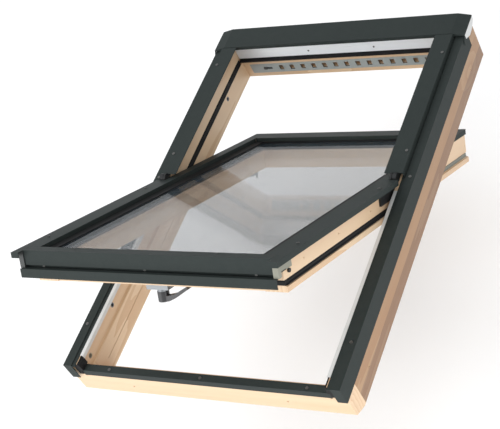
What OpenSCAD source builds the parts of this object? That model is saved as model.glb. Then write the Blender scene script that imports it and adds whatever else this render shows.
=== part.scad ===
// Centre-pivot roof window: a timber frame and a timber sash with aluminium covers.
// X runs across the window, Y up the slope and Z out of the roof.
// The origin is the middle of the sill's outer face.

/* [Frame] */
// Width over the side claddings
frame_w = 780; // [620:1:960]
// Length of the jambs
frame_l = 1166; // [1000:1:1420]
// Depth of the frame timber below the origin
room_depth = 38; // [30:1:60]
// Height of the jamb's outer face above the origin
jamb_top = 89.8; // [80:0.1:96]
// Thickness of a jamb
jamb_t = 43.6; // [38:0.1:52]
// Depth of the rebate in the lower half of each jamb
rebate_d = 7; // [4:0.5:9]
// Height of the rebate's floor
rebate_z = 44; // [40:1:52]
// Thickness of the head along the slope
head_t = 41; // [35:1:50]

/* [Sill] */
// Thickness of the sill's front bar
sill_bar = 45; // [35:1:55]
// How far the sill's upstand stays below the jamb's outer face
upstand_low = 27; // [24:0.5:34]
// Thickness of the sill's upstand
upstand_t = 20; // [16:0.5:22]
// Height of the sill's seat under the sash
sill_floor = 12; // [6:1:15]
// Thickness of the sill's room-side ledge
ledge_t = 6; // [4:0.5:6]
// Far edge of the sill on the room side
sill_back = 78; // [70:1:90]

/* [Cladding] */
// Thickness of the aluminium sheet
sheet = 1.4; // [0.8:0.1:2]
// Height of the cladding's raised face over the jamb
clad_h = 4.2; // [3:0.1:6]
// Depth of the cladding's outer flange
flange_h = 53; // [40:1:60]
// Gap between the jamb's rebate and the side cladding
step_gap = 3; // [2.5:0.5:5]
// Width of the lower step of the side cladding
step_w = 10; // [8:1:11]
// How far the side cladding passes the sill's face
clad_front = 7.5; // [4:0.5:12]
// Height of the upper covers over the jamb
upper_h = 19.7; // [17:0.1:24]
// Width of the raised upper covers
upper_w = 50; // [46:1:51]
// Gap from the hinge's eye to the upper covers
upper_gap = 0.5; // [0.5:0.5:8]

/* [Hood] */
// How far the hood stands out at each side
hood_side = 3; // [2:0.5:8]
// Height of the hood over the jamb
hood_h = 20.2; // [20:0.1:30]
// Length of the hood along the slope
hood_l = 78; // [60:1:100]
// How far the hood passes the jambs' top ends
hood_over = 10; // [6:1:14]
// Depth of the hood's front lip
hood_lip = 16; // [10:1:18]

/* [Sash] */
// Distance of the pivot above the middle of the jambs
pivot_up = 15; // [0:1:40]
// Height of the pivot over the jamb
pivot_h = 18.2; // [17:0.1:22]
// How far the sash is turned open
open_angle = 33.7; // [0:0.1:60]
// Turn that is left to the cleaning position
clean_turn = 160; // [120:1:170]
// Gap between a stile and the jamb
stile_gap = 9; // [8:0.5:11]
// Gap between a lip and the jamb
lip_gap = 3.5; // [3:0.5:6]
// How far the side covers pass the sill's face when closed
skirt_over = 34; // [20:1:50]
// Gap between the top rail and the head
top_gap = 39; // [36:1:60]
// Gap between the lower side covers and the raised face of the cladding
cover_gap = 4; // [3:0.5:8]
// Width of the sash timber seen from the room
rail_t = 51; // [42:1:60]
// Depth from the pivot to the sash's room side
sash_t = 92; // [80:1:94]
// Height of the lip on the room side
lip_h = 15; // [12:1:22]
// Height of the gasket groove above the lip
groove_h = 12; // [10:1:20]
// Distance from the front ends of the side covers to the bottom rail
skirt = 60; // [50:1:66]
// How far the bottom cover is set back from the ends of the side covers
set_back = 18; // [10:1:24]
// Depth of the bottom cover's top along the sash
brow = 29; // [20:1:34]
// Depth of the drip edge on the lower side covers
drip_h = 14; // [8:1:14]

/* [Glass] */
// Thickness of each pane
pane_t = 4; // [3:0.5:6]
// Gap between the panes
pane_gap = 14; // [10:1:16]
// How far the glass reaches into the sash timber
glass_bite = 18; // [12:1:20]
// How far the glass passes the front of the bottom rail
glass_over = 10; // [0:1:14]

/* [Hardware] */
// Radius of the hinge pins
pin_r = 6; // [4:0.5:7]
// Running clearance around a pin, a rod or a bolt
run_clear = 0.05; // [0.02:0.01:0.1]
// Radius of the lock rods
rod_r = 5; // [4:0.5:6]
// Travel of the lock rods
rod_travel = 20; // [12:1:20]
// Radius of the cleaning bolt
bolt_r = 4; // [3:0.5:5]
// Travel of the cleaning bolt
bolt_travel = 20; // [14:1:22]
// Length of the handle from its axis to its tip
handle_l = 76; // [70:1:110]
// Distance between two slots
slot_pitch = 36; // [32:1:38]
// Width of a slot
slot_w = 14; // [10:1:16]
// Height of a slot
slot_h = 18; // [12:1:20]
// Radius of the pilot holes in the timber
pilot_r = 2.5; // [2:0.5:4]
// Radius of the holes in the sides of the sash
side_r = 2; // [1.5:0.5:4]
// Distance between the two pilot holes of the sill
sill_pitch = 440; // [300:1:500]

/* [Hidden] */
$fn = 48;

pine = "burlywood";
dark = "darkslategray";
rubber = "black";
pale = "gainsboro";
steel = "silver";
eps = 0.01;

// Frame, right-hand side
x_out = frame_w / 2 - sheet;            // outer face of the timber
x_in = x_out - jamb_t;                  // inner face of the jamb
x_reb = x_in + rebate_d;                // inner face above the rebate
y_head = frame_l - head_t;              // inner face of the head
pivot_y = frame_l / 2 + pivot_up;
pivot_z = jamb_top + pivot_h;
hinge_zone = 28;                        // half length of full jamb around the pivot
upstand_z = jamb_top - upstand_low;     // top of the sill's upstand
seat_y = upstand_t + 10;                // inner edge of the sill's seat
clad_z = jamb_top + clad_h;             // top of the side cladding
step_x = x_reb + step_gap;              // inner edge of the cladding's lower step
face_x = step_x + step_w;               // inner edge of its raised face
step_z = jamb_top + sheet;              // top of the lower step
upper_z = jamb_top + upper_h;           // top of an upper cover
upper_x = face_x - 2.3 - upper_w;       // inner edge of an upper cover
hood_x = frame_w / 2 + hood_side;       // side face of the hood
hood_z = jamb_top + hood_h;             // top of the hood
hood_y1 = frame_l + hood_over;          // upper end of the hood
hood_y0 = hood_y1 - hood_l;             // front lip of the hood
hood_foot = hood_z - 12;                // lower edge of the hood's sides
jamb_holes = [116, frame_l - 98];       // pilot holes along a jamb
jamb_hole_z = 2;                        // height of the jamb's pilot holes
sill_hole_z = 9;                        // height of the sill's pilot holes

// Ventilation
vent_z = -7;                            // middle of the grille
vent_h = 36;                            // height of the grille
vent_w = 2 * x_in - 40;                 // width of the grille
slots = floor((vent_w - 130) / slot_pitch);
slider_t = 2;                           // thickness of the slider
slider_h = 26;                          // height of the slider
slot_mid = 12;                          // middle of the slot row
vent_travel = 17;                       // travel of the slider
knob_x = 49 - vent_w / 2;               // the slider's knob at rest

// Hinges
eye_r = 2 * pin_r;                      // radius of the hinge eyes
arm_w = max(15, eye_r);                 // half width of a hinge arm
arm_t = 5;                              // thickness of the hinge arm
bracket_x = x_in - 2.5;                 // inner face of the hinge bracket
bracket_t = 4.5;                        // thickness of the hinge bracket
boss_l = 6;                             // length of its boss
plate_l = 85;                           // reach of the arm's plate along the stile
plate_h = 50;                           // depth of the arm's plate
upper_y = pivot_y + eye_r + upper_gap;  // lower end of an upper cover
upper_end = hood_y0 - 1.5;              // upper end of an upper cover

// Sash, in its own axes: X across, Y along the sash from the pivot, Z out of the sash
x_stile = x_in - stile_gap;             // outer face of a stile
x_lip = x_in - lip_gap;                 // outer face of a lip
x_sight = x_stile - rail_t;             // inner face of a stile
sash_low = pivot_y + skirt_over;        // front ends of the side covers
y_front = -(sash_low - skirt);          // front face of the bottom rail
y_rear = y_head - pivot_y - top_gap;    // rear face of the top rail
y_sight0 = y_front + rail_t;            // inner face of the bottom rail
y_sight1 = y_rear - rail_t;             // inner face of the top rail
cover_z = -2;                           // top of the sash covers
wood_z = cover_z - sheet;               // top of the sash timber
glass_z = -16;                          // outer face of the glass
glass_t = 2 * pane_t + pane_gap;        // thickness of the glass unit
glass_x = x_sight + glass_bite;         // half width of the glass
glass_y0 = y_front - glass_over;        // front end of the glass
glass_y1 = y_sight1 + glass_bite;       // rear end of the glass
bed_z = glass_z - glass_t;              // seat of the glass in the timber
groove_d = 6;                           // depth of the gasket groove
lip_z = -sash_t + lip_h;                // top of the lip
groove_z = lip_z + groove_h;            // top of the groove
fold_x = glass_x + 6;                   // inner edge of the side covers
fold_z = glass_z + 3;                   // bottom of the inner folds
rebate_x = fold_x + sheet + 0.6;        // glass rebate in a stile
cover_x = face_x - cover_gap;           // outer edge of a lower side cover
cover_end = arm_w + 1.5;                // gap from the pivot to the lower side covers
upper_cover_x = x_stile + sheet;        // outer edge of the sash covers above the pivot
skirt_x = x_stile + 2;                  // half width of the bottom cover
block_x = x_stile + 8;                  // outer face of the corner block beside the stile
brow_y = -sash_low + set_back;          // front of the bottom cover
brow_z = bed_z + sheet;                 // upper side of its lower fold
fold_y0 = brow_y + brow;                // inner fold of the bottom cover
fold_y1 = y_sight1 + 4;                 // inner fold of the top cover
notch_l = 27;                           // length of the corner block's notch in the stile
block_z = bed_z - 2;                    // bottom of the corner block beside the stile
block_t = 14;                           // depth of the notch
drip_y = brow_y - 10;                   // front of the drip profile
drip_x = x_stile + 13;                  // half width of the drip profile
groove_y = brow_y + 11;                 // bottom of the groove above it
drip_z = bed_z - 7;                     // lower side of the groove
drip_low = bed_z - 29;                  // bottom of the drip profile

// Hardware
rod_y = y_front + 22;                   // axis of the lock rods
rod_z = bed_z - 11;
lock_y = pivot_y + rod_y;               // axis of the lock rods with the sash closed
lock_z = pivot_z + rod_z;
rod_end = x_lip - 1;                    // tip of a lock rod at rest
case_x = 40;                            // half length of the lock case
rod_start = case_x - rod_travel - 8;    // inner end of a lock rod at rest
spindle_r = 4;                          // radius of the handle's spindle
handle_x = -4;
handle_y = y_front + 26;                // axis of the handle
boss_z = -sash_t - 20;                  // lower end of the handle's boss
bolt_y = y_rear - 100;                  // axis of the cleaning bolt
bolt_z = -sash_t - 6;
clean_a = -clean_turn;                  // sash angle in the cleaning position
socket_y = pivot_y + bolt_y * cos(clean_a) - bolt_z * sin(clean_a);
socket_z = pivot_z + bolt_y * sin(clean_a) + bolt_z * cos(clean_a);
screw_r = 4;                            // radius of a cover screw's head
screw_h = 1.6;                          // height of a cover screw's head
trim_r = 2.6;                           // radius of a small screw's head
cover_screws = [123 - sash_low, -93];   // screws of a lower side cover, from the pivot
side_holes = [y_front + 95, y_front / 2 - 20, -134];

// Copies the children to the right, or mirrored to the left
module side(right) {
    if (right) children();
    else mirror([1, 0, 0]) children();
}

// Places the children as the sash stands, from the sash's own axes
module in_sash() {
    translate([0, pivot_y, pivot_z]) rotate([-open_angle, 0, 0]) children();
}

// Extrudes an outline of [x, z] points along Y
module along_y(y0, y1, points) {
    translate([0, y1, 0]) rotate([90, 0, 0]) linear_extrude(height = y1 - y0) polygon(points);
}

// Extrudes an outline of [y, z] points along X
module along_x(x0, x1, points) {
    translate([x0, 0, 0]) rotate([90, 0, 90]) linear_extrude(height = x1 - x0) polygon(points);
}

// A box between two corners
module span(a, b) {
    translate(a) cube([b[0] - a[0], b[1] - a[1], b[2] - a[2]]);
}

// A round bar along X
module bar_x(x0, x1, y, z, r) {
    translate([x0, y, z]) rotate([0, 90, 0]) cylinder(h = x1 - x0, r = r);
}

// A screw head with a shallow drive, standing on the surface at z
module screw_head(x, y, z, r, h) {
    translate([x, y, z]) difference() {
        cylinder(h = h, r = r);
        translate([0, 0, h - 0.6]) cylinder(h = 1, r = r * 0.45, $fn = 6);
    }
}

/* ---- frame timber ---- */

module jamb_body() {
    difference() {
        union() {
            span([x_in, 0, 40], [x_out, frame_l, jamb_top]);
            span([x_in, sill_bar, -room_depth], [x_out, frame_l, 40 + eps]);
        }
        // rebate of the lower half, with a chamfer under it
        along_y(-1, pivot_y - hinge_zone, [[x_in - 1, rebate_z - 4], [x_in, rebate_z - 4],
            [x_reb, rebate_z], [x_reb, jamb_top + 1], [x_in - 1, jamb_top + 1]]);
        // dark joint line between the two layers of the lower half
        span([x_in - 1, sill_bar + 36, -0.8], [x_in + 2, pivot_y - hinge_zone, 0.8]);
        // gasket groove of the upper half
        span([x_in - 1, upper_y, 22], [x_in + 4, y_head, 42]);
        // seat of the hinge bracket
        span([x_in - 1, pivot_y - arm_w, 44],
            [bracket_x + bracket_t, pivot_y + arm_w, jamb_top + 1]);
        // pilot holes for the fixing brackets
        for (y = jamb_holes)
            bar_x(x_out - 30, x_out + 1, y, jamb_hole_z, pilot_r);
    }
}

module frame_jamb_right() {
    color(pine) difference() {
        jamb_body();
        strike_pocket();
    }
}

module frame_jamb_left() {
    color(pine) side(false) difference() {
        jamb_body();
        strike_pocket();
        bar_x(x_reb - 1, x_reb + 22, socket_y, socket_z, bolt_r + 3);
        bar_x(x_in - 1, x_in + 22, pivot_y + bolt_y, pivot_z + bolt_z, bolt_r + 3);
    }
}

module strike_pocket() {
    bar_x(x_reb - 1, x_reb + 20, lock_y, lock_z, rod_r + 2.5);
}

module frame_sill() {
    color(pine) difference() {
        union() {
            along_x(-x_out, x_out, [[0, -room_depth + 18], [0, 40], [sill_bar, 40],
                [sill_bar, -room_depth], [36, -room_depth]]);
            along_x(-x_in, x_in, [[0, 39], [0, rebate_z], [sheet, rebate_z],
                [sheet, upstand_z], [upstand_t, upstand_z], [upstand_t, 39]]);
            span([-x_in, sill_bar - 1, -room_depth], [x_in, sill_back, -room_depth + ledge_t]);
        }
        // seat of the sash behind the upstand, and room for the handle above the ledge
        along_x(-x_in, x_in, [[upstand_t, sill_floor], [upstand_t, 70], [sill_back + 1, 70],
            [sill_back + 1, -room_depth + ledge_t], [seat_y + 4, -room_depth + ledge_t],
            [seat_y, sill_floor]]);
        // pilot holes for the fixing brackets
        for (s = [-1, 1])
            translate([s * sill_pitch / 2, -1, sill_hole_z]) rotate([-90, 0, 0])
                cylinder(h = 25, r = pilot_r);
    }
}

module frame_head() {
    color(pine) difference() {
        span([-x_in, y_head, -room_depth], [x_in, frame_l, hood_z - sheet]);
        // groove of the head gasket
        span([-x_in - 1, y_head - 1, 27], [x_in + 1, y_head + 6, 39]);
        // seat of the grille, run of the slider and air duct
        span([-vent_w / 2, y_head - 1, vent_z - vent_h / 2],
            [vent_w / 2, y_head + sheet, vent_z + vent_h / 2]);
        span([-vent_w / 2 + 12, y_head, vent_z - slider_h / 2 - 0.3],
            [vent_w / 2 - 12, y_head + sheet + slider_t + 0.4, vent_z + slider_h / 2 + 0.3]);
        span([-vent_w / 2 + 30, y_head, vent_z - slot_h / 2],
            [vent_w / 2 - 30, y_head + 22, vent_z + slot_h / 2]);
    }
}

/* ---- frame covers ---- */

module side_cladding() {
    color(dark) {
        along_y(-clad_front, frame_l - 2, [[step_x, jamb_top], [face_x + sheet, jamb_top],
            [face_x + sheet, clad_z - sheet], [frame_w / 2, clad_z - sheet],
            [frame_w / 2, clad_z], [face_x, clad_z], [face_x, step_z], [step_x, step_z]]);
        // outer flange, which stops under the hood
        span([x_out, -clad_front, clad_z - flange_h], [frame_w / 2, hood_y0 + 24, clad_z]);
        // folded foot
        span([face_x, -clad_front, clad_z - flange_h], [x_out + eps, -clad_front + sheet, clad_z]);
    }
}

module side_cladding_left() { side(false) side_cladding(); }
module side_cladding_right() { side(true) side_cladding(); }

module upper_cover() {
    color(dark) along_y(upper_y, upper_end, [[upper_x, upper_z - sheet],
        [x_in + 2, upper_z - sheet], [x_in + 2, jamb_top], [x_in + 2 + sheet, jamb_top],
        [x_in + 2 + sheet, upper_z - sheet], [upper_x + upper_w - sheet, upper_z - sheet],
        [upper_x + upper_w - sheet, step_z], [upper_x + upper_w, step_z],
        [upper_x + upper_w, upper_z], [upper_x, upper_z]]);
}

module upper_cover_left() { side(false) upper_cover(); }
module upper_cover_right() { side(true) upper_cover(); }

module sill_cladding() {
    color(dark) along_x(-x_reb + 0.3, x_reb - 0.3, [[0, rebate_z + 0.2],
        [sheet, rebate_z + 0.2], [sheet, upstand_z], [upstand_t, upstand_z],
        [upstand_t, upstand_z + sheet], [0, upstand_z + sheet]]);
}

module sill_corners() {
    color(rubber) for (right = [false, true]) side(right) {
        along_y(-sheet, upstand_t + 5.7, [[x_reb - 6, upstand_z + sheet],
            [x_reb - 0.3, upstand_z + sheet], [x_reb - 0.3, jamb_top + 1.6],
            [x_reb - 3, jamb_top + 1.6], [x_reb - 6, upstand_z + 18]]);
        span([x_reb - 0.3 - eps, -sheet, 50], [face_x - 0.3, 0, jamb_top]);
    }
}

// Outline of the hood with its sloping ends, drawn at a distance t inside its skin
function hood_outline(t) = let (w = hood_x - t, z = hood_z - t)
    [[-w, z - 9], [-w + 36, z], [w - 36, z], [w, z - 9]];

module head_hood() {
    low = clad_z - 26;
    color(dark) difference() {
        union() {
            along_y(hood_y0, hood_y1, concat(hood_outline(0),
                [[hood_x, hood_foot], [-hood_x, hood_foot]]));
            // side flaps drawn forward below the front lip
            for (s = [-1, 1])
                along_x(s * (hood_x - sheet / 2) - sheet / 2, s * (hood_x - sheet / 2) + sheet / 2,
                    [[hood_y0 - 15, low + 10], [hood_y0 - 12, low + 20],
                    [hood_y0 + 3, hood_z - 9], [hood_y0 + 3, low + 10]]);
            // rear flange against the head
            span([-x_in, hood_y1 - sheet, clad_z - flange_h], [x_in, hood_y1, hood_z - sheet]);
        }
        // inside of the sheet
        along_y(hood_y0 + sheet, hood_y1 - sheet, concat(hood_outline(sheet),
            [[hood_x - sheet, low], [-hood_x + sheet, low]]));
        // opening under the front lip
        along_y(hood_y0 - 1, hood_y0 + sheet + 1, [[-hood_x + sheet, low],
            [-hood_x + sheet, hood_z - hood_lip], [hood_x - sheet, hood_z - hood_lip],
            [hood_x - sheet, low]]);
    }
}

// Foam that closes the gap beside the head, under the hood's sides
module hood_end_seals() {
    color(pale) for (right = [false, true]) side(right)
        along_x(frame_w / 2, hood_x - 0.4, [[hood_y0 + 3.3, clad_z - 10],
            [hood_y0 + 30, clad_z - 22], [hood_y1 - 24, clad_z - 20], [hood_y1 - 1, clad_z - 8],
            [hood_y1 - 1, hood_foot - 0.3], [hood_y0 + 3.3, hood_foot - 0.3]]);
}

module head_strip() {
    color(pale) along_x(-x_in + 0.5, x_in - 0.5, [[y_head - 3, 40], [y_head, 40],
        [y_head, hood_z - 10], [y_head - 1.5, hood_z - 10], [y_head - 1.5, 70], [y_head - 3, 66]]);
}

/* ---- frame seals and ventilation ---- */

module head_gasket() {
    color(rubber) along_x(-x_in + 0.5, x_in - 0.5, [[y_head - 11, 30], [y_head - 11, 34],
        [y_head, 38.5], [y_head + 6, 38.5], [y_head + 6, 27.5], [y_head, 27.5]]);
}

module jamb_gasket() {
    color(rubber) along_y(upper_y + 0.5, y_head - 12, [[x_in + 4, 22.5], [x_in, 22.5],
        [x_in - 2.4, 26], [x_in - 2.4, 38], [x_in, 41.5], [x_in + 4, 41.5]]);
}

module jamb_gasket_left() { side(false) jamb_gasket(); }
module jamb_gasket_right() { side(true) jamb_gasket(); }

module weather_strip() {
    color(pale) along_y(upstand_t + 6, pivot_y - hinge_zone - 1, [[x_reb - 1.6, 75],
        [x_reb, 75], [x_reb, jamb_top], [step_x - 0.4, jamb_top],
        [step_x - 0.4, jamb_top + 1.6], [x_reb - 6.5, jamb_top + 1.6],
        [x_reb - 6.5, jamb_top - 1], [x_reb - 1.6, jamb_top - 4]]);
}

module weather_strip_left() { side(false) weather_strip(); }
module weather_strip_right() { side(true) weather_strip(); }

// A row of slots through a plate whose middle is at x
module slot_row(x, y0, y1) {
    for (i = [0 : slots - 1])
        span([x + (i - (slots - 1) / 2) * slot_pitch - slot_w / 2, y0, vent_z - slot_h / 2],
            [x + (i - (slots - 1) / 2) * slot_pitch + slot_w / 2, y1, vent_z + slot_h / 2]);
}

module vent_grille() {
    color("silver") difference() {
        span([-vent_w / 2 + 0.3, y_head, vent_z - vent_h / 2 + 0.3],
            [vent_w / 2 - 0.3, y_head + sheet, vent_z + vent_h / 2 - 0.3]);
        slot_row(slot_mid, y_head - 1, y_head + sheet + 1);
        span([knob_x - 6, y_head - 1, vent_z - 4],
            [knob_x + 6 + vent_travel, y_head + sheet + 1, vent_z + 4]);
    }
}

module vent_slider() {
    run = slots * slot_pitch / 2;
    color("gray") {
        difference() {
            span([slot_mid - run - 44, y_head + sheet + 0.2, vent_z - slider_h / 2],
                [slot_mid + run + 12, y_head + sheet + 0.2 + slider_t, vent_z + slider_h / 2]);
            slot_row(slot_mid, y_head, y_head + 10);
        }
        span([knob_x - 5, y_head - 3, vent_z - 3], [knob_x + 5, y_head + sheet + 0.3, vent_z + 3]);
    }
}

/* ---- frame hardware ---- */

module hinge_bracket() {
    color(steel) difference() {
        union() {
            span([bracket_x, pivot_y - arm_w + 0.2, 44.2],
                [bracket_x + bracket_t, pivot_y + arm_w - 0.2, pivot_z]);
            bar_x(bracket_x, bracket_x + bracket_t + boss_l, pivot_y, pivot_z, eye_r);
        }
        bar_x(bracket_x - 1, bracket_x + bracket_t + boss_l + 1, pivot_y, pivot_z,
            pin_r + run_clear);
    }
}

module hinge_bracket_left() { side(false) hinge_bracket(); }
module hinge_bracket_right() { side(true) hinge_bracket(); }

module lock_strikes() {
    color(steel) for (right = [false, true]) side(right) difference() {
        bar_x(x_reb, x_reb + 20, lock_y, lock_z, rod_r + 2.5);
        bar_x(x_reb - 1, x_reb + 18, lock_y, lock_z, rod_r + 0.8);
    }
}

// Bushes for the cleaning bolt: one for the cleaning position, one for the closed sash
module bolt_sockets() {
    color(steel) side(false) {
        difference() {
            bar_x(x_reb, x_reb + 22, socket_y, socket_z, bolt_r + 3);
            bar_x(x_reb - 1, x_reb + 20, socket_y, socket_z, bolt_r + 0.6);
        }
        difference() {
            bar_x(x_in, x_in + 22, pivot_y + bolt_y, pivot_z + bolt_z, bolt_r + 3);
            bar_x(x_in - 1, x_in + 20, pivot_y + bolt_y, pivot_z + bolt_z, bolt_r + 0.6);
        }
    }
}

module frame_screws() {
    color(steel) {
        for (s = [-1, 1]) {
            for (y = [upper_y + 74, upper_end - 68])
                screw_head(s * (x_in + 7), y, upper_z, screw_r, screw_h);
            for (y = [120, pivot_y + 14])
                screw_head(s * (frame_w / 2 - 13), y, clad_z, screw_r, screw_h);
        }
        for (x = [75 - x_in, 0, x_in - 55])
            screw_head(x, upstand_t / 2 - 1, upstand_z + sheet, screw_r, screw_h);
    }
}

module trim_screws() {
    color("dimgray") {
        for (x = [-104, 104])
            translate([x, y_head - 3, 57]) rotate([90, 0, 0]) cylinder(h = 1.2, r = trim_r);
        for (s = [-1, 1]) for (z = [52, 62])
            bar_x(s * bracket_x - (s > 0 ? 0.6 : 0), s * bracket_x + (s > 0 ? 0 : 0.6),
                pivot_y, z, trim_r);
    }
}

/* ---- sash timber ---- */

module stile_body() {
    difference() {
        along_y(y_front, y_rear, [[x_sight, -sash_t], [x_lip, -sash_t], [x_lip, lip_z - 2],
            [x_stile, lip_z], [x_stile - groove_d, lip_z], [x_stile - groove_d, groove_z],
            [x_stile, groove_z], [x_stile, wood_z], [rebate_x, wood_z],
            [rebate_x, bed_z], [x_sight, bed_z]]);
        // notch for the corner block
        span([x_stile - block_t, y_front - 1, block_z - 0.3],
            [x_stile + 1, y_front + notch_l, 0]);
        // gasket groove across the front end
        span([x_sight - 1, y_front - 1, lip_z], [x_stile + 1, y_front + groove_d, groove_z]);
        // guide of the lock rod
        bar_x(x_sight - 1, x_lip + 1, rod_y, rod_z, rod_r + run_clear);
        // pilot holes in the outer side
        for (y = side_holes)
            bar_x(x_stile - 20, x_stile + 1, y, -46, side_r);
        bar_x(x_stile - 20, x_stile + 1, y_rear - 8, -46, side_r);
    }
}

module sash_stile_right() { color(pine) in_sash() stile_body(); }
module sash_stile_left() { color(pine) in_sash() mirror([1, 0, 0]) stile_body(); }

module sash_top_rail() {
    color(pine) in_sash() along_x(-x_sight, x_sight, [[y_sight1, -sash_t],
        [y_rear + 14, -sash_t], [y_rear + 14, lip_z - 2], [y_rear, lip_z],
        [y_rear - groove_d, lip_z], [y_rear - groove_d, groove_z], [y_rear, groove_z],
        [y_rear, wood_z], [glass_y1 + 0.5, wood_z], [glass_y1 + 0.5, bed_z],
        [y_sight1, bed_z]]);
}

// The bottom rail lies under the glass, so that water runs off over it
module sash_bottom_rail() {
    color(pine) in_sash() difference() {
        along_x(-x_sight, x_sight, [[y_sight0, -sash_t], [y_front + 4, -sash_t],
            [y_front + 4, lip_z - 2], [y_front, lip_z], [y_front + groove_d, lip_z],
            [y_front + groove_d, groove_z], [y_front, groove_z], [y_front, bed_z],
            [y_sight0, bed_z]]);
        // hole of the handle's spindle
        translate([handle_x, handle_y, -sash_t - 1])
            cylinder(h = sash_t + rod_z - rod_r + 1, r = spindle_r + 0.5);
        // channel of the lock rods
        span([-x_sight - 1, y_front + 9, rod_z - rod_r - 1],
            [x_sight + 1, rod_y + rod_r + 1, rod_z + rod_r + 1]);
    }
}

/* ---- glass ---- */

// A flat frame between an outer and an inner half size, around the glass
module ring(x, y0, y1, inset, z0, z1) {
    difference() {
        span([-x, y0, z0], [x, y1, z1]);
        span([-x + inset, y0 + inset, z0 - 1], [x - inset, y1 - inset, z1 + 1]);
    }
}

module pane(z0) {
    color([0.8, 0.87, 0.9, 0.35]) in_sash()
        span([-glass_x, glass_y0, z0], [glass_x, glass_y1, z0 + pane_t]);
}

module glass_outer() { pane(glass_z - pane_t); }
module glass_inner() { pane(bed_z); }

module glass_spacer() {
    color("gray") in_sash() ring(glass_x - 2, glass_y0 + 2, glass_y1 - 2, 10,
        bed_z + pane_t, bed_z + pane_t + pane_gap);
}

module glazing_seal() {
    color(rubber) in_sash() difference() {
        span([-fold_x - sheet, fold_y0 - sheet, glass_z],
            [fold_x + sheet, glass_y1, fold_z]);
        span([-x_sight + 2, fold_y0 + 20, glass_z - 1], [x_sight - 2, y_sight1 - 2, 0]);
    }
}

/* ---- sash covers ---- */

// A flat plate between two heights, from an outline of [x, y] points
module plate(points, z0, z1) {
    translate([0, 0, z0]) linear_extrude(height = z1 - z0) polygon(points);
}

module lower_cover() {
    color(dark) in_sash() {
        // top, with a horn beside the bottom cover
        plate([[cover_x, -sash_low], [cover_x, -cover_end], [fold_x, -cover_end],
            [fold_x, fold_y0 + 0.3], [skirt_x + 0.3, fold_y0 + 0.3],
            [skirt_x + 0.3, -sash_low]], wood_z, cover_z);
        span([cover_x - sheet, -sash_low, cover_z - drip_h], [cover_x, -cover_end, wood_z + eps]);
        span([skirt_x + 0.3, -sash_low, cover_z - drip_h],
            [cover_x, -sash_low + sheet, wood_z + eps]);
        span([fold_x, fold_y0 + sheet + 0.3, fold_z], [fold_x + sheet, -cover_end, wood_z + eps]);
    }
}

module lower_cover_left() { side(false) lower_cover(); }
module lower_cover_right() { side(true) lower_cover(); }

module sash_cover() {
    color(dark) in_sash() {
        plate([[x_stile - 2, -cover_end + 0.3], [x_stile - 2, 17], [upper_cover_x, 17],
            [upper_cover_x, y_rear + 9], [fold_x, fold_y1 - 0.3],
            [fold_x, -cover_end + 0.3]], wood_z, cover_z);
        span([x_stile, 17, cover_z - drip_h], [upper_cover_x, y_rear + 7, wood_z + eps]);
        span([fold_x, -cover_end + 0.3, fold_z],
            [fold_x + sheet, fold_y1 - sheet - 0.3, wood_z + eps]);
    }
}

module sash_cover_left() { side(false) sash_cover(); }
module sash_cover_right() { side(true) sash_cover(); }

module sash_cover_top() {
    color(dark) in_sash() {
        plate([[-upper_cover_x + 0.3, y_rear + 9], [upper_cover_x - 0.3, y_rear + 9],
            [fold_x - 0.3, fold_y1], [-fold_x + 0.3, fold_y1]], wood_z, cover_z);
        span([-x_stile + 1, y_rear + 9 - sheet, cover_z - drip_h],
            [x_stile - 1, y_rear + 9, wood_z + eps]);
        span([-fold_x, fold_y1, fold_z], [fold_x, fold_y1 + sheet, wood_z + eps]);
    }
}

module bottom_cover() {
    color(dark) in_sash() {
        plate([[-skirt_x, brow_y], [skirt_x, brow_y], [skirt_x, fold_y0],
            [-skirt_x, fold_y0]], wood_z, cover_z);
        span([-skirt_x, brow_y, bed_z], [skirt_x, brow_y + sheet, wood_z + eps]);
        span([-skirt_x, brow_y, bed_z], [skirt_x, glass_y0 - 1, brow_z]);
        span([-fold_x, fold_y0 - sheet, fold_z], [fold_x, fold_y0, wood_z + eps]);
    }
}

module drip_profile() {
    color(dark) in_sash() {
        along_x(-drip_x, drip_x, [[drip_y, drip_low], [drip_y + sheet, drip_low],
            [drip_y + sheet, drip_z - sheet], [groove_y, drip_z - sheet], [groove_y, bed_z],
            [groove_y - sheet, bed_z], [groove_y - sheet, drip_z], [drip_y, drip_z]]);
        // flange under the bottom rail's front edge
        span([-x_stile - 9, groove_y - sheet, bed_z - sheet], [x_stile + 9, y_front, bed_z]);
    }
}

// Plastic block that closes the end of the bottom cover and turns into the stile's notch
module sash_corner() {
    color("darkgray") in_sash() {
        span([skirt_x + 0.3, brow_y - 3, drip_z],
            [cover_x - 9, groove_y - sheet - 0.3, wood_z - 0.3]);
        span([skirt_x + 0.3, groove_y - sheet - 1, bed_z],
            [block_x, y_front, wood_z - 0.3]);
        span([x_stile - block_t + 0.3, y_front - eps, block_z],
            [block_x, y_front + notch_l - 0.3, wood_z - 0.3]);
        // tongue inside the bottom cover
        span([x_stile - block_t + 0.3, brow_y + sheet + 1, brow_z + 0.6],
            [skirt_x + 1, y_front + 1, wood_z - 0.3]);
    }
}

module sash_corner_left() { side(false) sash_corner(); }
module sash_corner_right() { side(true) sash_corner(); }

/* ---- sash seals ---- */

// Gasket in a stile's groove that also lies on the lip
module stile_gasket() {
    in_sash() along_y(y_front + groove_d, -40, [[x_stile - groove_d, lip_z],
        [x_lip - 1, lip_z], [x_lip - 1, lip_z + 2], [x_stile + 1.5, lip_z + 4],
        [x_stile + 1.5, groove_z - 4], [x_stile, groove_z - 1.5], [x_stile, groove_z],
        [x_stile - groove_d, groove_z]]);
}

module stile_strip() {
    in_sash() along_y(40, y_rear, [[x_stile - groove_d, lip_z], [x_stile, lip_z],
        [x_stile - 2, lip_z + 3], [x_stile - 2, groove_z - 3], [x_stile - groove_d, groove_z]]);
}

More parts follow.
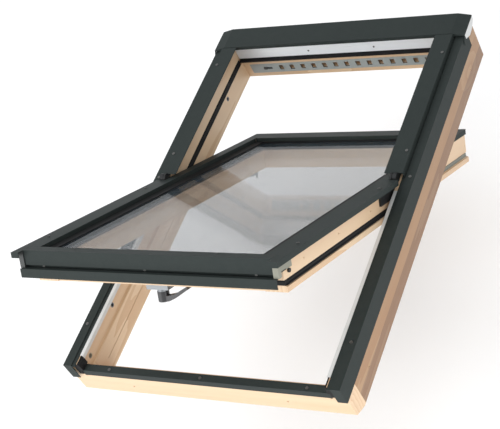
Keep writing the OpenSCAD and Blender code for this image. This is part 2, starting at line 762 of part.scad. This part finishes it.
module sash_gasket_left() { color(rubber) side(false) stile_gasket(); }
module sash_gasket_right() { color(rubber) side(true) stile_gasket(); }
module groove_strip_left() { color("gray") side(false) stile_strip(); }
module groove_strip_right() { color("gray") side(true) stile_strip(); }

module sash_gasket_bottom() {
    color(rubber) in_sash() along_x(-x_stile - 1.5, x_stile + 1.5, [[y_front + groove_d, lip_z],
        [y_front, lip_z], [y_front - 0.8, lip_z + 2], [y_front - 0.8, groove_z - 3],
        [y_front, groove_z], [y_front + groove_d, groove_z]]);
}

/* ---- sash hardware ---- */

module hinge_arm() {
    color(steel) in_sash() {
        span([x_stile, -arm_w, groove_z + 1], [x_stile + arm_t, arm_w, 0]);
        span([x_stile, -plate_l, -plate_h], [x_stile + arm_t, -arm_w + 1, wood_z]);
        bar_x(x_stile, x_stile + arm_t, 0, 0, eye_r);
        bar_x(x_stile + arm_t - 1, bracket_x + bracket_t + boss_l, 0, 0, pin_r);
    }
}

module hinge_arm_left() { side(false) hinge_arm(); }
module hinge_arm_right() { side(true) hinge_arm(); }

module handle_base() {
    color(steel) in_sash() difference() {
        union() {
            span([handle_x - 31, handle_y - 19, -sash_t - 12],
                [handle_x + 28, handle_y + 15, -sash_t]);
            translate([handle_x, handle_y, boss_z]) cylinder(h = 9, r = 13);
        }
        translate([handle_x, handle_y, boss_z - 1]) cylinder(h = 22, r = spindle_r + run_clear);
    }
}

module lock_case() {
    color(steel) in_sash() difference() {
        span([-case_x, y_front + 9, rod_z - rod_r - 1],
            [case_x, rod_y + rod_r + 1, rod_z + rod_r + 1]);
        bar_x(-case_x - 1, case_x + 1, rod_y, rod_z, rod_r + run_clear);
    }
}

module handle_lever() {
    spindle_l = rod_z - rod_r - 1.3 - boss_z;
    color("dimgray") in_sash() translate([handle_x, handle_y, boss_z - 0.3]) {
        translate([0, 0, -24]) cylinder(h = 24, r = 14);
        translate([0, 0, -1]) cylinder(h = spindle_l + 1, r = spindle_r);
        // arm that rises back towards the sash at its tip
        rotate([90, 0, 0]) translate([0, 0, -8]) linear_extrude(height = 16)
            polygon([[0, -11], [0, -24], [18, -23], [36, -15], [54, -4], [handle_l, 9],
                [handle_l - 6, 13], [50, 3], [34, -6], [16, -10]]);
    }
}

module lock_rod(s) {
    color(steel) in_sash()
        bar_x(s > 0 ? rod_start : -rod_end, s > 0 ? rod_end : -rod_start, rod_y, rod_z, rod_r);
}

module lock_rod_left() { lock_rod(-1); }
module lock_rod_right() { lock_rod(1); }

module bolt_guide() {
    color(steel) side(false) in_sash() difference() {
        span([x_lip - 40, bolt_y - 9, -sash_t - 13], [x_lip - 3, bolt_y + 9, -sash_t]);
        bar_x(x_lip - 41, x_lip, bolt_y, bolt_z, bolt_r + run_clear);
        span([x_lip - 41, bolt_y - bolt_r - 0.3, -sash_t - 14],
            [x_lip - 50 + bolt_travel + 4, bolt_y + bolt_r + 0.3, bolt_z]);
    }
}

module cleaning_bolt() {
    color("gray") side(false) in_sash() {
        bar_x(x_lip - 54, x_lip - 1, bolt_y, bolt_z, bolt_r);
        translate([x_lip - 50, bolt_y, bolt_z - 12]) cylinder(h = 12, r = 3);
    }
}

module sash_screws() {
    color(steel) in_sash() {
        for (s = [-1, 1]) for (y = cover_screws)
            screw_head(s * (x_stile + 9), y, cover_z, screw_r, screw_h);
        for (x = [46 - x_stile, 0, x_stile - 46])
            translate([x, groove_y - sheet, drip_z + 3.5]) rotate([90, 0, 0]) cylinder(h = 2, r = 3.4);
        for (x = [-200, 190])
            screw_head(x, fold_y0 - 6, cover_z, 3, 1.2);
    }
}

frame_head();
frame_sill();
frame_jamb_left();
frame_jamb_right();
head_hood();
hood_end_seals();
head_strip();
upper_cover_left();
upper_cover_right();
side_cladding_left();
side_cladding_right();
sill_cladding();
sill_corners();
head_gasket();
jamb_gasket_left();
jamb_gasket_right();
weather_strip_left();
weather_strip_right();
vent_grille();
vent_slider();
hinge_bracket_left();
hinge_bracket_right();
lock_strikes();
bolt_sockets();
frame_screws();
trim_screws();
sash_top_rail();
sash_bottom_rail();
sash_stile_left();
sash_stile_right();
glass_outer();
glass_inner();
glass_spacer();
glazing_seal();
lower_cover_left();
lower_cover_right();
sash_cover_left();
sash_cover_right();
sash_cover_top();
bottom_cover();
drip_profile();
sash_corner_left();
sash_corner_right();
sash_gasket_left();
sash_gasket_right();
sash_gasket_bottom();
groove_strip_left();
groove_strip_right();
hinge_arm_left();
hinge_arm_right();
handle_base();
lock_case();
bolt_guide();
sash_screws();
handle_lever();
lock_rod_left();
lock_rod_right();
cleaning_bolt();
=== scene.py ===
"""Looks and studio for the roof window: materials, small rounded edges, floor, lights and camera."""

import math

import bpy
import bmesh
from mathutils import Matrix, Vector


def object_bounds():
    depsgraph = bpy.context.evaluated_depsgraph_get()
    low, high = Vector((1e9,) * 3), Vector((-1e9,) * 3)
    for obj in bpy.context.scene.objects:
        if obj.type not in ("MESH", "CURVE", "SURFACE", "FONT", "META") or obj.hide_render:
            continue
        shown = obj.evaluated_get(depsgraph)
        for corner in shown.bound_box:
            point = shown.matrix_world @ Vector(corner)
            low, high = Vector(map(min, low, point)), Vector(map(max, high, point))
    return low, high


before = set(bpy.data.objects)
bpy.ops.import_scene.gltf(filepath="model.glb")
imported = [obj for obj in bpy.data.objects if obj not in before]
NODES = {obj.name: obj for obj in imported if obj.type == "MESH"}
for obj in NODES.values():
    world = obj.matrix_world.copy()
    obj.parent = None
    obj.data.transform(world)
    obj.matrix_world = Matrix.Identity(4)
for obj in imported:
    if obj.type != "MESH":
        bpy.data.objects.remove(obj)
CAD_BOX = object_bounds()
MM = 0.001

# ---------------------------------------------------------------- node helpers


class Mat:
    """A material under construction: makes and links shader nodes in short calls."""

    def __init__(self, name):
        self.material = bpy.data.materials.new(name)
        self.material.use_nodes = True
        self.tree = self.material.node_tree
        self.bsdf = self.tree.nodes["Principled BSDF"]
        self.position = None

    def node(self, kind, **values):
        made = self.tree.nodes.new(kind)
        for key, value in values.items():
            if hasattr(made, key) and key not in made.inputs:
                setattr(made, key, value)
            else:
                made.inputs[key].default_value = value
        return made

    def link(self, source, target):
        self.tree.links.new(source, target)

    def place(self, scale=(1, 1, 1), turn=(0, 0, 0), move=(0, 0, 0)):
        """Object coordinates in metres, turned and scaled."""
        if self.position is None:
            self.position = self.node("ShaderNodeTexCoord").outputs["Object"]
        mapping = self.node("ShaderNodeMapping")
        mapping.inputs["Location"].default_value = move
        mapping.inputs["Rotation"].default_value = turn
        mapping.inputs["Scale"].default_value = scale
        self.link(self.position, mapping.inputs["Vector"])
        return mapping.outputs["Vector"]

    def noise(self, vector, scale, detail=3.0, rough=0.5, distortion=0.0):
        made = self.node("ShaderNodeTexNoise")
        made.inputs["Scale"].default_value = scale
        made.inputs["Detail"].default_value = detail
        made.inputs["Roughness"].default_value = rough
        made.inputs["Distortion"].default_value = distortion
        self.link(vector, made.inputs["Vector"])
        return made.outputs["Fac"]

    def ramp(self, source, stops):
        made = self.node("ShaderNodeValToRGB")
        elements = made.color_ramp.elements
        while len(elements) < len(stops):
            elements.new(0.5)
        for element, (place, colour) in zip(elements, stops):
            element.position = place
            element.color = (*colour, 1) if len(colour) == 3 else colour
        self.link(source, made.inputs["Fac"])
        return made.outputs["Color"]

    def mix(self, factor, a, b, blend="MIX"):
        made = self.node("ShaderNodeMix")
        made.data_type = "RGBA"
        made.blend_type = blend
        for source, target in ((factor, 0), (a, 6), (b, 7)):
            if hasattr(source, "node"):
                self.link(source, made.inputs[target])
            elif target == 0:
                made.inputs[0].default_value = source
            else:
                made.inputs[target].default_value = (*source, 1)
        return made.outputs[2]

    def math(self, operation, a, b=0.0):
        made = self.node("ShaderNodeMath", operation=operation)
        for source, target in ((a, 0), (b, 1)):
            if hasattr(source, "node"):
                self.link(source, made.inputs[target])
            else:
                made.inputs[target].default_value = source
        return made.outputs[0]

    def span(self, source, low, high):
        """source, from 0 to 1, mapped onto low to high."""
        made = self.node("ShaderNodeMapRange")
        made.inputs["To Min"].default_value = low
        made.inputs["To Max"].default_value = high
        self.link(source, made.inputs["Value"])
        return made.outputs["Result"]

    def colour(self, source):
        self.link(source, self.bsdf.inputs["Base Color"])

    def roughness(self, source):
        self.link(source, self.bsdf.inputs["Roughness"])

    def bump(self, height, distance, strength=1.0):
        made = self.node("ShaderNodeBump")
        made.inputs["Strength"].default_value = strength
        made.inputs["Distance"].default_value = distance
        self.link(height, made.inputs["Height"])
        self.link(made.outputs["Normal"], self.bsdf.inputs["Normal"])

    def set(self, **values):
        for key, value in values.items():
            self.bsdf.inputs[key.replace("_", " ")].default_value = value
        return self


# ---------------------------------------------------------------- materials

X_AXIS, Y_AXIS = "x", "y"
PINE_LIGHT, PINE_DARK = (0.79, 0.585, 0.385), (0.66, 0.43, 0.25)
HEARTWOOD = (0.30, 0.14, 0.06)          # middle of a knot
OUTER_SHADE_ABOVE = (0.52, 0.42, 0.33)         # painted shade on the jambs' outer faces above the roof line, times the pine's own
OUTER_SHADE_BELOW = (0.36, 0.28, 0.23)         # the same painted shade, deeper below the roof line


def pine(name, along, tilt=0.0, seed=0.0, outer=None):
    """Lacquered pine with growth rings, fine fibres and knots.

    along is the axis of the grain, and tilt the board's turn about X. Beyond outer, in metres from
    the middle plane, painted shade darkens the timber, deepest below the roof line.
    """
    m = Mat(name)
    turn = (tilt, 0, 0) if along == Y_AXIS else (tilt, 0, math.pi / 2)
    board = m.place(turn=turn, move=(seed, seed * 0.7, seed * 1.3))
    stretched = m.node("ShaderNodeMapping")
    stretched.inputs["Scale"].default_value = (1, 0.06, 1)
    m.link(board, stretched.inputs["Vector"])
    grain = stretched.outputs["Vector"]

    # knots: rare cells on the stretched board pull the rings around themselves
    cells = m.node("ShaderNodeMapping")
    cells.inputs["Scale"].default_value = (1, 0.42, 1)
    m.link(board, cells.inputs["Vector"])
    knot = m.node("ShaderNodeTexVoronoi", feature="F1")
    knot.inputs["Scale"].default_value = 7.5
    m.link(cells.outputs["Vector"], knot.inputs["Vector"])
    pull = m.node("ShaderNodeMapRange", interpolation_type="SMOOTHSTEP")
    for key, value in (("From Min", 0.0), ("From Max", 0.34), ("To Min", 1.0), ("To Max", 0.0)):
        pull.inputs[key].default_value = value
    m.link(knot.outputs["Distance"], pull.inputs["Value"])
    pull = pull.outputs["Result"]

    wander = m.noise(grain, 9, 2)
    rings = m.node("ShaderNodeTexWave", wave_type="BANDS", bands_direction="X", wave_profile="SAW")
    rings.inputs["Scale"].default_value = 26
    rings.inputs["Distortion"].default_value = 5.5
    rings.inputs["Detail"].default_value = 2
    rings.inputs["Detail Scale"].default_value = 0.9
    shifted = m.node("ShaderNodeVectorMath", operation="ADD")
    push = m.node("ShaderNodeCombineXYZ")
    m.link(m.math("MULTIPLY", pull, 0.035), push.inputs["X"])
    m.link(m.math("MULTIPLY", wander, 0.05), push.inputs["Z"])
    m.link(grain, shifted.inputs[0])
    m.link(push.outputs["Vector"], shifted.inputs[1])
    m.link(shifted.outputs["Vector"], rings.inputs["Vector"])
    ring = rings.outputs["Fac"]
    fibre = m.noise(grain, 420, 3, 0.6)
    patch = m.noise(board, 3.2, 2)

    between = tuple(0.5 * (a + b) for a, b in zip(PINE_LIGHT, PINE_DARK))
    base = m.ramp(ring, [(0.0, PINE_LIGHT), (0.62, between), (1.0, PINE_DARK)])
    base = m.mix(m.span(fibre, 0.0, 0.16), base, tuple(0.72 * c for c in PINE_DARK))
    base = m.mix(m.span(patch, 0.0, 0.28), base, tuple(min(1, 1.06 * c) for c in PINE_LIGHT))
    heart = m.ramp(pull, [(0.80, (0, 0, 0)), (0.93, (1, 1, 1))])
    base = m.mix(heart, base, HEARTWOOD)
    # Past outer, the timber gets painted shade, deeper below the roof line.
    if outer is not None:
        axes = m.node("ShaderNodeSeparateXYZ")
        m.link(m.place(), axes.inputs["Vector"])
        beyond = m.math("GREATER_THAN", m.math("ABSOLUTE", axes.outputs["X"]), outer)
        below = m.math("LESS_THAN", axes.outputs["Z"], 0.0)
        outer_shade = m.mix(below, OUTER_SHADE_ABOVE, OUTER_SHADE_BELOW)
        base = m.mix(beyond, base, m.mix(1.0, base, outer_shade, "MULTIPLY"))
    m.colour(base)
    m.roughness(m.span(fibre, 0.34, 0.50))
    m.bump(m.math("ADD", m.math("MULTIPLY", ring, 0.5), fibre), 0.00022, 0.35)
    m.set(Specular_IOR_Level=0.45, Coat_Weight=0.18, Coat_Roughness=0.25)
    return m.material


DUST = (0.42, 0.43, 0.42)


def coated_metal(name, colour, lit, rough, shine=0.5):
    """Powder-coated aluminium: fine orange peel, slight unevenness and a little dust."""
    m = Mat(name)
    place = m.place()
    peel = m.noise(place, 1400, 2, 0.5)
    cloud = m.noise(place, 7, 3)
    dust = m.noise(place, 60, 4, 0.7)
    base = m.mix(m.span(cloud, 0.0, 1.0), colour, lit)
    base = m.mix(m.span(dust, 0.0, 0.025), base, DUST)
    m.colour(base)
    m.roughness(m.span(m.math("ADD", m.math("MULTIPLY", cloud, 0.6), m.math("MULTIPLY", dust, 0.4)),
                       rough - 0.08, rough + 0.12))
    m.bump(peel, 0.00006, 0.5)
    m.set(Specular_IOR_Level=shine)
    return m.material


def rubber(name, colour, rough=0.62):
    """Extruded gasket: matte with faint bloom and fine drawn lines."""
    m = Mat(name)
    place = m.place()
    bloom = m.noise(place, 26, 4, 0.6)
    pores = m.noise(place, 900, 2)
    m.colour(m.mix(m.span(bloom, 0.0, 0.35), colour, tuple(min(1, c * 1.9 + 0.02) for c in colour)))
    m.roughness(m.span(bloom, rough - 0.1, rough + 0.14))
    m.bump(pores, 0.00008, 0.4)
    m.set(Specular_IOR_Level=0.2)
    return m.material


def plastic(name, colour, rough=0.5):
    """Moulded plastic with a fine spark-eroded grain."""
    m = Mat(name)
    place = m.place()
    grain = m.noise(place, 1100, 2)
    cloud = m.noise(place, 12, 3)
    m.colour(m.mix(m.span(cloud, 0.0, 0.5), colour, tuple(c * 0.82 for c in colour)))
    m.roughness(m.span(cloud, rough - 0.06, rough + 0.08))
    m.bump(grain, 0.00007, 0.45)
    return m.material


def brushed(name, colour, rough=0.34, scale=(1, 0.03, 1)):
    """Drawn or zinc-plated metal with fine streaks."""
    m = Mat(name)
    streaks = m.noise(m.place(scale=scale), 1500, 3, 0.6)
    cloud = m.noise(m.place(), 30, 3)
    m.colour(m.mix(m.span(cloud, 0.0, 0.6), colour, tuple(c * 0.72 for c in colour)))
    m.roughness(m.span(streaks, rough - 0.08, rough + 0.16))
    m.bump(streaks, 0.00004, 0.5)
    m.set(Metallic=0.9)
    return m.material


GLASS_VEIL_WITH_SHADE = 0.26                       # share of the pane's dark colour over what lies behind it: partly the coating's own colour, partly painted shade on the timber seen through
GLASS_INDEX = 2.4                       # above plain glass, for the coating's stronger mirror


def window_glass(name, tint_and_shade):
    """Coated pane: mostly see-through, with a mirror-like sheen and faint cloudiness. Its dark veil is
    partly the coating's colour and partly painted shade on what lies behind.
    """
    m = Mat(name)
    cloud = m.noise(m.place(), 2.2, 3)
    m.colour(m.mix(m.span(cloud, 0.0, 0.5), tint_and_shade, tuple(0.94 * c for c in tint_and_shade)))
    m.roughness(m.span(cloud, 0.02, 0.05))
    m.set(Alpha=GLASS_VEIL_WITH_SHADE, IOR=GLASS_INDEX)
    return m.material


SASH_TILT = math.radians(33.7)          # the sash's turn at rest
JAMB_FACE = 0.3885                      # just inside the jambs' outer faces
DARK, DARK_LIT = (0.023, 0.030, 0.029), (0.030, 0.038, 0.036)
# The jambs' outer faces, past JAMB_FACE, carry painted shade.
pine_y = pine("pine_jambs", Y_AXIS, seed=0.31, outer=JAMB_FACE)
pine_x = pine("pine_sill_head", X_AXIS, seed=0.83)
pine_sash_y = pine("pine_stiles", Y_AXIS, tilt=SASH_TILT, seed=1.7)
pine_sash_x = pine("pine_rails", X_AXIS, tilt=SASH_TILT, seed=2.4)
cladding = coated_metal("cladding_anthracite", DARK, DARK_LIT, 0.45, 0.07)
black_rubber = rubber("gasket_black", (0.006, 0.006, 0.0065))
# Pale rubber of the weather strips; on hood_end_seals the same pale colour stands in for a bright
# reflection on the hood's end flaps, a painted highlight.
pale_rubber_and_highlight = rubber("seal_pale_and_painted_highlight", (0.60, 0.61, 0.60), 0.6)
pale_metal = coated_metal("strip_pale", (0.86, 0.89, 0.92), (0.90, 0.93, 0.95), 0.40)
vent_metal = coated_metal("grille_grey", (0.30, 0.33, 0.32), (0.36, 0.39, 0.38), 0.45)
vent_plastic = plastic("shutter_dark", (0.045, 0.046, 0.046))
zinc = brushed("zinc_steel", (0.24, 0.25, 0.26), 0.42)
dark_steel = brushed("dark_steel", (0.045, 0.047, 0.048), 0.45)
screw_zinc = brushed("screw_zinc", (0.16, 0.16, 0.155), 0.45, (1, 1, 1))
strike_plastic = plastic("strike_beige", (0.42, 0.36, 0.27))
glass = window_glass("pane_coated", (0.07, 0.10, 0.125))
spacer_metal = coated_metal("spacer_black", (0.014, 0.015, 0.015), (0.020, 0.021, 0.021), 0.5, 0.2)
corner_plastic = plastic("corner_block", (0.27, 0.27, 0.215))
# The left sash corner block is the same plastic as the right one, painted dark as shade.
corner_painted_shade = plastic("corner_block_painted_shade", (0.030, 0.034, 0.033))
strip_plastic = plastic("groove_strip", (0.22, 0.225, 0.19))
handle_metal = coated_metal("handle_lacquer", (0.022, 0.022, 0.024), (0.032, 0.032, 0.034), 0.36)

LOOKS = {
    pine_x: ["frame_head", "frame_sill"],
    pine_y: ["frame_jamb_left", "frame_jamb_right"],
    pine_sash_x: ["sash_top_rail", "sash_bottom_rail"],
    pine_sash_y: ["sash_stile_left", "sash_stile_right"],
    cladding: ["head_hood", "upper_cover_left", "upper_cover_right", "side_cladding_left",
               "side_cladding_right", "sill_cladding", "lower_cover_left", "lower_cover_right",
               "sash_cover_left", "sash_cover_right", "sash_cover_top", "bottom_cover",
               "drip_profile"],
    black_rubber: ["sill_corners", "head_gasket", "jamb_gasket_left", "jamb_gasket_right",
                   "sash_gasket_left", "sash_gasket_right", "sash_gasket_bottom", "glazing_seal"],
    # hood_end_seals: painted highlight for the reflection on the hood's end flaps.
    pale_rubber_and_highlight: ["hood_end_seals", "weather_strip_left", "weather_strip_right"],
    pale_metal: ["head_strip"],
    vent_metal: ["vent_grille"],
    vent_plastic: ["vent_slider"],
    zinc: ["handle_base", "lock_case", "bolt_guide", "cleaning_bolt", "bolt_sockets"],
    dark_steel: ["hinge_bracket_left", "hinge_bracket_right", "hinge_arm_left", "hinge_arm_right",
                 "lock_rod_left", "lock_rod_right"],
    strike_plastic: ["lock_strikes"],
    screw_zinc: ["frame_screws", "trim_screws", "sash_screws"],
    glass: ["glass_outer", "glass_inner"],
    spacer_metal: ["glass_spacer"],
    corner_plastic: ["sash_corner_right"],
    corner_painted_shade: ["sash_corner_left"],
    strip_plastic: ["groove_strip_left", "groove_strip_right"],
    handle_metal: ["handle_lever"],
}


def dress():
    """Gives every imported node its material, and small rounded edges that catch the light."""
    for material, names in LOOKS.items():
        for name in names:
            node = NODES[name]
            node.data.materials.clear()
            node.data.materials.append(material)
            if material in (glass, black_rubber, pale_rubber_and_highlight):
                continue
            timber = material in (pine_x, pine_y, pine_sash_x, pine_sash_y)
            round_edges(node, 1.2 * MM if timber else 0.35 * MM)


def round_edges(piece, width):
    bevel = piece.modifiers.new("edges", "BEVEL")
    bevel.width = width
    bevel.segments = 2
    bevel.limit_method = "ANGLE"
    bevel.angle_limit = math.radians(40)
    bevel.use_clamp_overlap = True
    bevel.harden_normals = False


dress()

# ---------------------------------------------------------------- floor, light, camera

SHOT = {"place": (1.7131, -1.3127, 2.3449), "focal": 94.36, "sensor": 36.0}
CAMERA_RIGHT = Vector((0.855, 0.335, -0.396))
CAMERA_UP = Vector((-0.013, 0.776, 0.630))


def camera():
    data = bpy.data.cameras.new("shot")
    data.sensor_width = SHOT["sensor"]
    data.lens = SHOT["focal"]
    data.clip_end = 50
    shot = bpy.data.objects.new("shot", data)
    bpy.context.scene.collection.objects.link(shot)
    right = CAMERA_RIGHT.normalized()
    back = right.cross(CAMERA_UP).normalized()
    up = back.cross(right)
    turn = Matrix((right, up, back)).transposed().to_4x4()
    shot.matrix_world = Matrix.Translation(SHOT["place"]) @ turn
    bpy.context.scene.camera = shot


FLOOR_DROP = 0.25


def floor():
    """A plain pale floor well under the lowest point of the sash, so that shadows stay soft."""
    low = CAD_BOX[0][2] - FLOOR_DROP
    mesh = bpy.data.meshes.new("studio_floor")
    grid = bmesh.new()
    bmesh.ops.create_grid(grid, x_segments=1, y_segments=1, size=9)
    grid.to_mesh(mesh)
    grid.free()
    ground = bpy.data.objects.new("studio_floor", mesh)
    ground.location = (0, 0.6, low)
    bpy.context.scene.collection.objects.link(ground)
    m = Mat("studio_paper")
    tone = m.noise(m.place(), 0.6, 2)
    m.colour(m.mix(tone, (0.95, 0.95, 0.95), (0.97, 0.97, 0.97)))
    m.set(Roughness=0.9, Specular_IOR_Level=0.1)
    mesh.materials.append(m.material)


def area(name, place, aim, size, power):
    data = bpy.data.lights.new(name, "AREA")
    data.shape = "RECTANGLE"
    data.size, data.size_y = size
    data.energy = power
    lamp = bpy.data.objects.new(name, data)
    lamp.location = place
    lamp.rotation_euler = (Vector(aim) - Vector(place)).to_track_quat("-Z", "Y").to_euler()
    bpy.context.scene.collection.objects.link(lamp)


def lights():
    centre = (0, 0.6, 0)
    area("key", (-2.1, -2.6, 1.7), centre, (2.2, 2.2), 56)
    area("inner_fill", (1.9, -0.6, -0.1), (-0.35, 0.6, 0.0), (1.2, 1.2), 14)
    sun = bpy.data.lights.new("soft_sky", "SUN")
    sun.energy = 2.35
    sun.angle = math.radians(150)
    lamp = bpy.data.objects.new("soft_sky", sun)
    lamp.rotation_euler = Vector((-0.4, -0.5, 1.0)).to_track_quat("Z", "Y").to_euler()
    bpy.context.scene.collection.objects.link(lamp)
    world = bpy.data.worlds.new("studio")
    bpy.context.scene.world = world
    world.use_nodes = True
    sky = world.node_tree.nodes["Background"]
    sky.inputs["Color"].default_value = (0.95, 0.97, 1.0, 1)
    sky.inputs["Strength"].default_value = 0.44


camera()
floor()
lights()
bpy.context.scene.view_settings.view_transform = "Standard"
